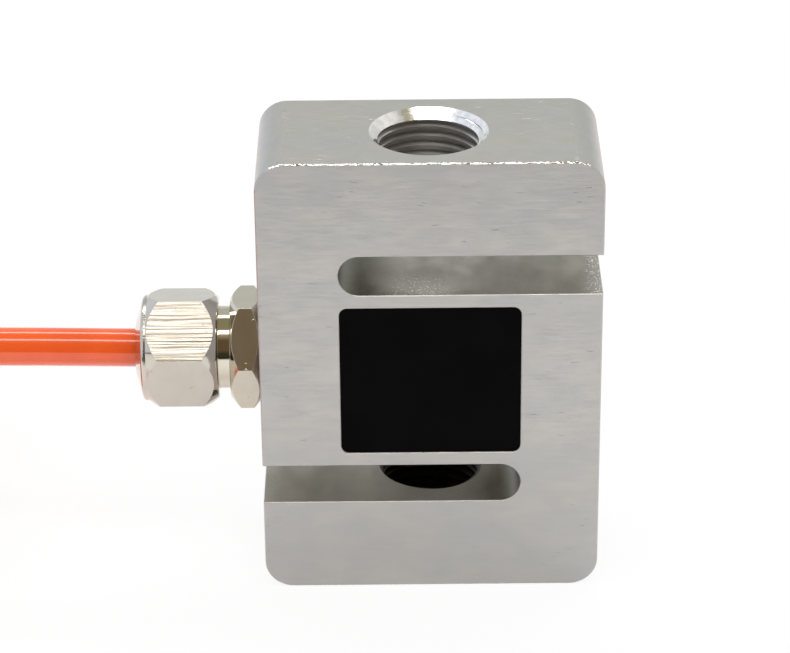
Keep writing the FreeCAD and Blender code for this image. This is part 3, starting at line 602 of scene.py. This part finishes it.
def model_beam(sizes):
    """The block: corners, edges, slots, pockets, then the drilled and tapped holes."""
    beam = add_block("s_beam", BEAM_LOW, BEAM_HIGH)
    shape(beam, "EDGE", runs_across,
          (bpy.ops.mesh.bevel, {"offset": sizes.corner_radius, "segments": 12,
                                "affect": "EDGES"}))
    shape(beam, "FACE", lambda face: abs(face.normal.y) > 0.9,
          (bpy.ops.mesh.bevel, {"offset": sizes.edge_break, "segments": 1,
                                "affect": "EDGES"}))

    high_slot = BEAM_HIGH.z - sizes.arm_height - sizes.slot_height / 2
    low_slot = BEAM_LOW.z + sizes.arm_height + sizes.slot_height / 2
    round_end = sizes.slot_reach - sizes.slot_height / 2
    past = 2 * sizes.corner_radius
    cut(beam, slot_way("upper_slot", sizes, -round_end, high_slot, BEAM_HIGH.x + past),
        slot_way("lower_slot", sizes, round_end, low_slot, BEAM_LOW.x - past))

    middle = (BEAM_LOW.z + BEAM_HIGH.z) / 2
    half = Vector((sizes.pocket_width / 2, 0, sizes.pocket_height / 2))
    for way, rim in ((-1, BEAM_LOW.y), (1, BEAM_HIGH.y)):
        near, far = way * sizes.web_thickness / 2, rim + way * MM
        low = Vector((-half.x, min(near, far), middle - half.z))
        high = Vector((half.x, max(near, far), middle + half.z))
        cutter = add_block("pocket_cutter", low, high)
        shape(cutter, "EDGE", runs_across,
              (bpy.ops.mesh.bevel, {"offset": sizes.pocket_corner, "segments": 6,
                                    "affect": "EDGES"}))
        cut(beam, cutter)
    apply_modifier(beam, "BEVEL", width=sizes.slot_break, segments=1, limit_method="ANGLE",
                   angle_limit=math.radians(50), miter_outer="MITER_SHARP")

    # The gland's tapped hole and the drilled way on to both pockets.
    outside = (BEAM_LOW.x - MM, 0, middle)
    gland_end, core_end = BEAM_LOW.x + sizes.gland_depth, BEAM_LOW.x + sizes.core_depth
    cut(beam, add_rod("gland_drill", sizes.gland_hole / 2, outside, (gland_end, 0, middle)),
        add_rod("core_drill", sizes.core_hole / 2, outside, (core_end, 0, middle), 32))

    mouth, bore = sizes.mouth_width / 2, sizes.thread_bore / 2
    rise = 2 * MM
    for name, face, way in (("upper", BEAM_HIGH.z, 1), ("lower", BEAM_LOW.z, -1)):
        inner = face - way * sizes.arm_height
        inside = inner - way * sizes.slot_height / 2
        low, high = sorted((inside, face + way * rise))
        cut(beam, thread_tool(f"{name}_tap", sizes, low - sizes.thread_lag, high))
        wide, deep = mouth + rise, face - way * (mouth - bore + rise)
        ends = (bore - rise, wide) if way > 0 else (wide, bore - rise)
        low, high = sorted((deep, face + way * rise))
        cut(beam, add_cone(f"{name}_mouth", *ends, low, high))
        exit_mouth = bore + sizes.exit_break
        ends = (exit_mouth + rise, exit_mouth - rise)
        low, high = sorted((inner - way * rise, inner + way * rise))
        cut(beam, add_cone(f"{name}_exit", *(ends if way > 0 else ends[::-1]), low, high))
    return smooth(beam)


def in_slot(sizes, middle):
    """Whether a face is a wall of either slot, by its middle."""
    from_face = min(middle.z - BEAM_LOW.z, BEAM_HIGH.z - middle.z)
    in_height = -SLACK < from_face - sizes.arm_height < sizes.slot_height + SLACK
    return in_height and abs(middle.y) < BEAM_HIGH.y - sizes.slot_break


def is_broken_edge(sizes, middle, normal):
    """Whether a face breaks a level edge in front or behind, or is the cone of a mouth."""
    from_axis = math.hypot(middle.x, middle.y)
    from_face = min(middle.z - BEAM_LOW.z, BEAM_HIGH.z - middle.z)
    cone = (sizes.mouth_width - sizes.thread_bore) / 2
    if from_axis < sizes.mouth_width / 2 and from_face < sizes.arm_height:
        return from_face < cone and 0.5 < abs(normal.z) < 0.9
    at_rim = abs(middle.y) > BEAM_HIGH.y - sizes.edge_break and from_face < sizes.corner_radius
    outer_side = abs(middle.x) > BEAM_HIGH.x - sizes.corner_radius / 2
    return at_rim and 0.05 < abs(normal.y) < 0.98 and not outer_side


def is_lower_thread(sizes, middle):
    """Whether a face lies in the lower hole, up to its slot."""
    return (math.hypot(middle.x, middle.y) < sizes.thread_width / 2 + SLACK
            and middle.z < sizes.arm_height)


def hank_line(sizes):
    """Control points of the folded cable, from the top inner turn round to the top outer.

    The turns go down the inner column, out along the bench and up the outer column. Each
    lap keeps its row but for one stretch, where it moves on to the next row, and the
    stretches follow each other backwards round the hank so that no turn meets another.
    """
    low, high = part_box("cable_hank")
    columns = (sizes.hank_fold, sizes.hank_fold + sizes.width)
    edge = columns[-1] + sizes.width / 2
    far, near, side = low.x + edge, high.x - edge, high.y - edge
    straight, half_turn = near - far, math.pi * sizes.hank_fold
    lap = 2 * (straight + half_turn)
    rows = sizes.hank_rows
    # The shares of a lap between which the line moves up a row, out to the outer column and
    # down a row.
    up, out, down = ((0.2, 0.455), (0.455, 0.72), (0.72, 0.985))
    fold_steps = 8
    lean = math.pi / fold_steps / 2

    def place_in(slot):
        row = rows - 1 - slot if slot < rows else slot - rows
        return columns[slot >= rows], sizes.hank_lift + (row + 0.5) * sizes.width

    stations = []
    for start, x_from, way, fold_x in ((0, near, -1, far), (straight + half_turn, far, 1, near)):
        for share in (0.2, 0.5, 0.8):
            stations.append((start + share * straight, x_from + way * share * straight,
                             way, None))
        for step in range(fold_steps):
            angle = (2 * step + 1) * lean
            stations.append((start + straight + angle * sizes.hank_fold, fold_x, way, angle))

    points = []
    for turn in range(2 * rows - 1):
        zone = down if turn < rows - 1 else out if turn == rows - 1 else up
        for reach, x, way, angle in stations:
            if turn == 0 and reach < 0.4 * straight:
                continue  # the run comes in over the first part of the top turn
            share = min(1, max(0, (reach / lap - zone[0]) / (zone[1] - zone[0])))
            share = share * share * (3 - 2 * share)
            (radius, level), (next_radius, next_level) = place_in(turn), place_in(turn + 1)
            radius += share * (next_radius - radius)
            level += share * (next_level - level)
            if angle is None:
                points.append((x, side + way * radius, level))
            else:
                wide = radius / math.cos(lean)  # the line runs inside its corner points
                points.append((x + way * wide * math.sin(angle),
                               side + way * wide * math.cos(angle), level))
    return points


def model_cable(sizes, jacket, copper, cores, sleeve):
    """The cable along its run and its hank, and the bare leads with their tinned tips."""
    run, end = metres(CABLE_RUN), metres(CABLE_END)
    cable = line("cable", run + hank_line(sizes) + end, sizes.width / 2, round_steps=7)
    finish(cable, jacket, "cable_jacket", "cable_run", "cable_hank", "cable_tail")
    dress_nodes(jacket, "cable_entry")
    dress_nodes(sleeve, "jacket_sleeve")
    for name, route in LEAD_RUNS.items():
        route = metres(route)
        colour_name = name.removeprefix("lead_")
        bare = name == "lead_shield"
        width = sizes.drain_width if bare else sizes.core_width
        material = copper if bare else cores[colour_name]
        slot = "bare_wire" if bare else f"core_{colour_name}"
        lead = finish(line(name + "_wire", route, width / 2, round_steps=3), material, slot,
                      name)
        if not bare:
            start = Vector(route[-1])
            way = (start - Vector(route[-2])).normalized()
            tip = [start - way * MM, start + way * sizes.tip_length / 2,
                   start + way * sizes.tip_length]
            finish(line(name + "_tip", tip, sizes.tip_width / 2, 3), copper,
                                   "bare_wire")


# The operators, one for each piece or group of pieces.


class Piece(bpy.types.Operator):
    bl_options = {"REGISTER", "UNDO"}


class LOADCELL_OT_beam(Piece):
    """Model the slotted steel block with its tapped holes"""
    bl_idname = "loadcell.beam"
    bl_label = "Beam"

    def execute(self, context):
        sizes = context.scene.beam_sizes
        tone = list(context.scene.finishes.steel)
        beam = finish(model_beam(sizes), plated_steel(tone), "steel_beam", "s_body")
        finish_faces(beam, wire_cut_steel(tone), lambda middle, normal: in_slot(sizes, middle))
        finish_faces(beam, burnished_edge(tone),
                     lambda middle, normal: is_broken_edge(sizes, middle, normal))
        # The lower hole's thread is painted dark as painted shade, for the dark inside that
        # hole.
        shaded_lower_thread = plain_surface("lower_thread_painted_shade", linear("#55514B"), 0.45, 0.3, 0.01,
                              Metallic=1.0)
        finish_faces(beam, shaded_lower_thread, lambda middle, normal: is_lower_thread(sizes, middle))
        return {"FINISHED"}


class LOADCELL_OT_gauging(Piece):
    """Finish what is bonded in the pockets, and the compound over it"""
    bl_idname = "loadcell.gauging"
    bl_label = "Gauging"

    def execute(self, context):
        # Two-part compound, cast and cured: nearly black, matte, a little uneven.
        potting = plain_surface("cast_potting_compound", context.scene.finishes.potting,
                                0.7, 0.6, 0.02, Specular_IOR_Level=0.05)
        dress_nodes(potting, "potting_front", "potting_back")
        # Polyimide film with etched foil: amber and glossy.
        film = plain_surface("polyimide_film", linear("#B8782E"), 0.25, 0.2, 0.005, IOR=1.6)
        dress_nodes(film, *(f"gauge_{side}_{lean}" for side in ("front", "back")
                            for lean in ("rising", "falling")))
        # Glass-epoxy sheet, sawn: deep green with the weave just felt.
        board = plain_surface("glass_epoxy_board", linear("#2C5C3A"), 0.45, 0.3, 0.01,
                              IOR=1.55)
        dress_nodes(board, "terminal_board_front", "terminal_board_back")
        # Lacquered metal-film resistors: pale blue and glossy.
        lacquer = plain_surface("resistor_lacquer", linear("#7FA6C4"), 0.3, 0.3, 0.01,
                                IOR=1.5)
        dress_nodes(lacquer, "span_resistor", "zero_resistor")
        return {"FINISHED"}


class LOADCELL_OT_gland(Piece):
    """Finish the cable gland's metal, rubber and nylon pieces"""
    bl_idname = "loadcell.gland"
    bl_label = "Gland"

    def execute(self, context):
        tone = list(context.scene.finishes.nickel)
        dress_nodes(bright_nickel("drawn_nickel_on_brass", tint(tone, 0.93, 0.94, 0.92), 1.0),
                    "gland_cap_nut")
        # The body came from another batch of plate, a little more yellow.
        dress_nodes(bright_nickel("bright_nickel_on_brass", tint(tone, 1.03, 1.03, 0.95), 0.0),
                    "gland_body")
        # Nitrile rubber, moulded: matte black.
        rubber = plain_surface("nitrile_rubber", linear("#1B1B1C"), 0.7, 0.3, 0.02, IOR=1.5)
        dress_nodes(rubber, "gland_oring", "gland_seal")
        # Polyamide, injection moulded: dark grey with a faint grain.
        claw = plain_surface("moulded_polyamide", linear("#2E2E30"), 0.5, 0.3, 0.01,
                             IOR=1.53)
        dress_nodes(claw, "gland_claw")
        return {"FINISHED"}


class LOADCELL_OT_cable(Piece):
    """Lay the cable with its hank, leads, sleeve and ties"""
    bl_idname = "loadcell.cable"
    bl_label = "Cable"

    def execute(self, context):
        finishes = context.scene.finishes
        copper = tinned_copper()
        # Plasticised PVC insulation, extruded: plain colours with a soft gloss.
        cores = {name: plain_surface(f"pvc_core_{name}", linear(code), 0.38, 0.3, 0.008,
                                     IOR=1.53)
                 for name, code in CORE_COLOURS.items()}
        # Polyolefin tube shrunk on with heat: black, satin, slightly rippled.
        sleeve = plain_surface("shrunk_polyolefin", linear("#1A1A1B"), 0.42, 0.8, 0.04,
                               IOR=1.5)
        model_cable(context.scene.cable_sizes, polyurethane(list(finishes.jacket)), copper,
                    cores, sleeve)
        for name, core in cores.items():
            dress_nodes(core, f"core_{name}")
        dress_nodes(copper, "bridge_link_wire")
        # Polyamide 66, injection moulded: dark, with the soft sheen of nylon.
        nylon = plain_surface("nylon_strap", finishes.tie, 0.45, 0.5, 0.015, IOR=1.53)
        dress_nodes(nylon, "hank_tie_back", "hank_tie_far")
        return {"FINISHED"}


class LOADCELL_OT_stage(Piece):
    """Set the floor, the lights and the camera"""
    bl_idname = "loadcell.stage"
    bl_label = "Stage"

    def execute(self, context):
        scene = context.scene
        set_camera(scene)
        set_floor(scene.finishes.floor)
        set_lights(scene)
        scene.view_settings.view_transform = "Standard"
        return {"FINISHED"}


def set_camera(scene):
    """A long lens level with the gland's side, looking down on the front."""
    data = bpy.data.cameras.new("camera")
    data.lens = 145.57
    data.sensor_width = 36
    data.clip_start = 0.01
    place, look, tilt = (-0.00434, -0.4229, 0.2574), Vector((-0.0017, 0.8878, -0.4603)), -0.577
    camera = bpy.data.objects.new("camera", data)
    turn = look.to_track_quat("-Z", "Y").to_matrix().to_4x4()
    roll = Matrix.Rotation(math.radians(tilt), 4, "Z")
    camera.matrix_world = Matrix.Translation(place) @ turn @ roll
    scene.collection.objects.link(camera)
    scene.camera = camera


def seen_directly(tree):
    """1 for what the camera or a glass sees, and 0 for light that bounces."""
    path = node(tree, "LightPath").outputs
    return node(tree, "Math", (path["Is Camera Ray"], path["Is Transmission Ray"]),
                operation="MAXIMUM")


def set_floor(tone):
    """A matt sheet on a table: it looks white itself but keeps a soft shadow.

    Bright metal mirrors the sheet as it is lit, with the dark room past its front edge. It
    has no glow under the lower hole, so that no light comes up there.
    """
    bpy.ops.object.select_all(action="DESELECT")
    bpy.ops.mesh.primitive_plane_add(size=6)
    floor = placed("floor")
    material = bpy.data.materials.new("matt_white_sheet")
    material.use_nodes = True
    tree = material.node_tree
    tree.nodes.clear()
    place = node(tree, "TexCoord").outputs["Object"]
    out = node(tree, "SeparateXYZ", (place,)).outputs["Y"]
    table, mirrored, direct = (node(tree, "MapRange", (out, SHEET_END, SHEET_START, *shares))
                               for shares in ((1, 0), (0, 0.15), (1, 0.9)))
    sheet = node(tree, "Mix", {0: table, 6: tone, 7: linear("#332F26")}, data_type="RGBA")
    matt = node(tree, "BsdfDiffuse", {"Color": sheet.outputs[2]})
    glow = node(tree, "Emission", {"Color": tone, "Strength": 1})
    in_metal = node(tree, "Math", (node(tree, "LightPath").outputs["Is Glossy Ray"], mirrored),
                    operation="MULTIPLY")
    in_sight = node(tree, "Math", (seen_directly(tree), direct), operation="MULTIPLY")
    shown = node(tree, "Math", (in_metal, in_sight), operation="MAXIMUM")
    away = node(tree, "VectorMath", (place,), operation="LENGTH").outputs["Value"]
    off_hole = node(tree, "MapRange", (away, 9 * MM, 11 * MM, 0, 1))
    share = node(tree, "Math", (shown, off_hole), operation="MULTIPLY")
    node(tree, "OutputMaterial", {"Surface": node(tree, "MixShader", (share, matt, glow))})
    floor.data.materials.append(material)


def set_lights(scene):
    """Two long soft strips overhead, before and behind the object, in a pale room."""
    middle = Vector((0, 0, (BEAM_LOW.z + BEAM_HIGH.z) / 2))
    for name, place in (("front_strip", (-0.04, -0.29, 0.753)), ("back_strip", (0, 0.39, 0.7))):
        data = bpy.data.lights.new(name, "AREA")
        data.shape = "RECTANGLE"
        data.size, data.size_y = 0.9, 0.13
        data.energy = 2
        lamp = bpy.data.objects.new(name, data)
        way = middle - Vector(place)
        lamp.matrix_world = (Matrix.Translation(place)
                             @ way.to_track_quat("-Z", "Y").to_matrix().to_4x4())
        scene.collection.objects.link(lamp)

    world = bpy.data.worlds.new("pale_room")
    world.use_nodes = True
    tree = world.node_tree
    tree.nodes.clear()
    room = node(tree, "Background", {"Color": (1, 1, 1, 1), "Strength": 0.7})
    mirrored = node(tree, "Background", {"Color": room_by_direction(tree), "Strength": 1})
    white = node(tree, "Background", {"Color": (1, 1, 1, 1), "Strength": 1})
    glossy = node(tree, "LightPath").outputs["Is Glossy Ray"]
    lit = node(tree, "MixShader", (glossy, room, mirrored))
    shown = node(tree, "MixShader", (seen_directly(tree), lit, white))
    node(tree, "OutputWorld", {"Surface": shown})
    scene.world = world


def room_by_direction(tree):
    """What bright metal mirrors: pale walls behind and beside, a dim ceiling, a dark front."""
    way = node(tree, "SeparateXYZ", (node(tree, "TexCoord").outputs["Generated"],)).outputs
    across, back, up = (way[axis] for axis in "XYZ")
    front = node(tree, "MapRange", (back, -0.5, -0.7, 0, 1))
    low = node(tree, "MapRange", (up, 0.3, 0.15, 0, 1))
    low_front = node(tree, "Math", (front, low), operation="MULTIPLY")
    tone = linear("#DEE4E4")
    for share, code in ((node(tree, "MapRange", (up, 0.15, 0.4, 0, 1)), "#C9CCC7"),
                        (node(tree, "MapRange", (up, 0.76, 0.84, 0, 1)), "#979176"),
                        (node(tree, "MapRange", (back, -0.3, -0.45, 0, 1)), "#B7A089"),
                        (front, "#6A5940"), (low_front, "#3E3A2D"),
                        (node(tree, "MapRange", (across, 0.55, 0.8, 0, 1)), "#F4F3F1"),
                        (node(tree, "MapRange", (across, -0.35, -0.6, 0, 1)), "#EDF3FF")):
        tone = node(tree, "Mix", {0: share, 6: tone, 7: linear(code)},
                    data_type="RGBA").outputs[2]
    return tone


class LOADCELL_PT_panel(bpy.types.Panel):
    bl_idname = "LOADCELL_PT_panel"
    bl_label = "Load Cell"
    bl_space_type = "VIEW_3D"
    bl_region_type = "UI"
    bl_category = "Load Cell"

    def draw(self, context):
        layout = self.layout
        for group in (context.scene.beam_sizes, context.scene.cable_sizes,
                      context.scene.finishes):
            box = layout.box()
            for name in group.__annotations__:
                box.prop(group, name)
        for operator in OPERATORS:
            layout.operator(operator.bl_idname)


OPERATORS = (LOADCELL_OT_stage, LOADCELL_OT_cable, LOADCELL_OT_gland, LOADCELL_OT_gauging,
             LOADCELL_OT_beam)
CLASSES = (BeamSizes, CableSizes, Finishes, *OPERATORS, LOADCELL_PT_panel)


def register():
    for kind in CLASSES:
        bpy.utils.register_class(kind)
    bpy.types.Scene.beam_sizes = PointerProperty(type=BeamSizes)
    bpy.types.Scene.cable_sizes = PointerProperty(type=CableSizes)
    bpy.types.Scene.finishes = PointerProperty(type=Finishes)


def unregister():
    for name in ("beam_sizes", "cable_sizes", "finishes"):
        delattr(bpy.types.Scene, name)
    for kind in reversed(CLASSES):
        bpy.utils.unregister_class(kind)


def main():
    register()
    bpy.ops.loadcell.stage()
    bpy.ops.loadcell.cable()
    bpy.ops.loadcell.gland()
    bpy.ops.loadcell.gauging()
    bpy.ops.loadcell.beam()


if __name__ == "__main__":
    main()
